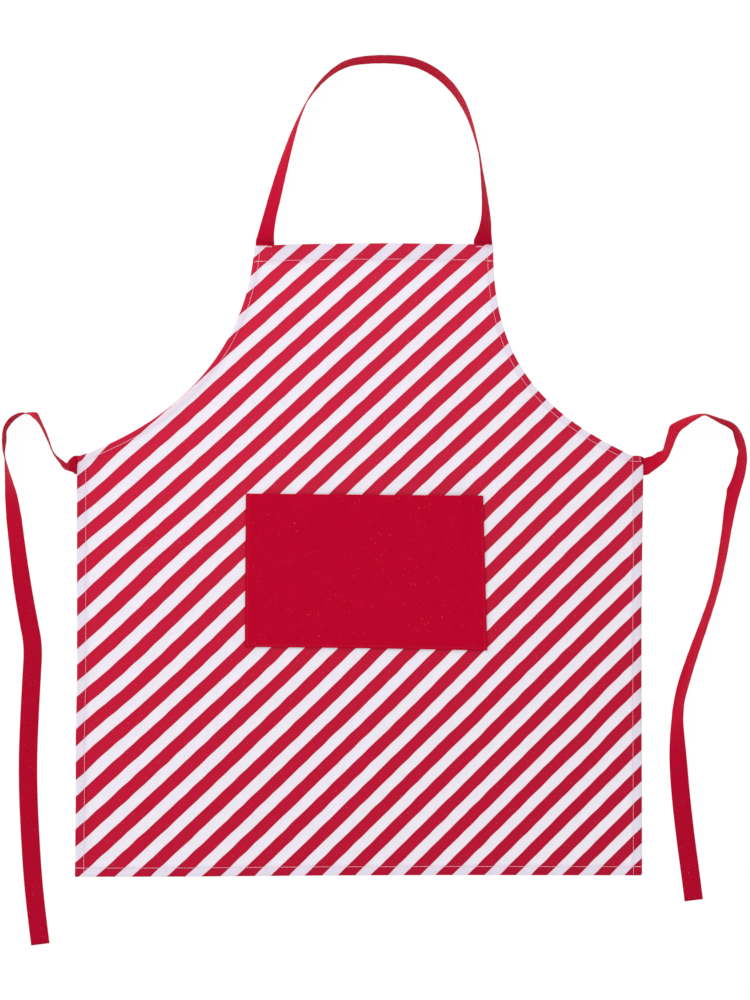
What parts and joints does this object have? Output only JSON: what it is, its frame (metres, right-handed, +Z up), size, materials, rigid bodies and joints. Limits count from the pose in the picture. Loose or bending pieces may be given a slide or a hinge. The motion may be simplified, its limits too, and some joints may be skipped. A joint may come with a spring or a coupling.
{
  "type": "bib apron",
  "caption": "Striped cotton bib apron laid flat, with a patch pocket, a neck loop and waist ties that swing up from their seams.",
  "frame": {"origin": "on the surface the apron lies on, at the middle of the box round the apron and its neck loop, leaving out the waist ties; this is also the middle of the skirt's width", "axes": "+Z up out of the face of the apron, +Y from the skirt to the bib, +X to the viewer's right when the apron is looked at from the front"},
  "size_m": [0.9218, 1.0993, 0.023],
  "materials": {
    "striped_fabric": "plain-weave cotton, diagonal red and white stripes",
    "red_fabric": "plain-weave cotton, plain red",
    "pale_thread": "matt spun thread, off-white",
    "red_thread": "matt spun thread, red"
  },
  "bodies": {
    "apron": {"body_panel": "striped_fabric", "top_hem": "striped_fabric", "bottom_hem": "striped_fabric", "left_side_hem": "striped_fabric", "right_side_hem": "striped_fabric", "left_armhole_hem": "striped_fabric", "right_armhole_hem": "striped_fabric", "neck_strap_left_end": "red_fabric", "neck_strap_right_end": "red_fabric", "left_tie_sewn_end": "red_fabric", "right_tie_sewn_end": "red_fabric", "pocket_panel": "red_fabric", "pocket_mouth_hem": "red_fabric", "pocket_turned_edge": "red_fabric", "bottom_hem_stitching": "pale_thread", "top_hem_stitching": "pale_thread", "left_side_stitching": "pale_thread", "right_side_stitching": "pale_thread", "left_armhole_stitching": "pale_thread", "right_armhole_stitching": "pale_thread", "neck_strap_left_tack": "pale_thread", "neck_strap_right_tack": "pale_thread", "pocket_stitching": "red_thread", "left_tie_tack": "red_thread", "right_tie_tack": "red_thread"},
    "neck_strap": {"neck_strap": "red_fabric"},
    "left_tie": {"left_tie": "red_fabric"},
    "right_tie": {"right_tie": "red_fabric"}
  },
  "joints": [
    {"name": "neck_strap_lift", "type": "hinge", "parent": "apron", "child": "neck_strap", "pos_m": [0.0187, 0.2765, 0.0018], "axis": [1, 0, 0], "range_deg": [0, 120]},
    {"name": "left_tie_lift", "type": "hinge", "parent": "apron", "child": "left_tie", "pos_m": [-0.352, -0.0005, 0.0018], "axis": [0, 1, 0], "range_deg": [0, 100]},
    {"name": "right_tie_lift", "type": "hinge", "parent": "apron", "child": "right_tie", "pos_m": [0.352, -0.0015, 0.0018], "axis": [0, -1, 0], "range_deg": [0, 100]}
  ]
}
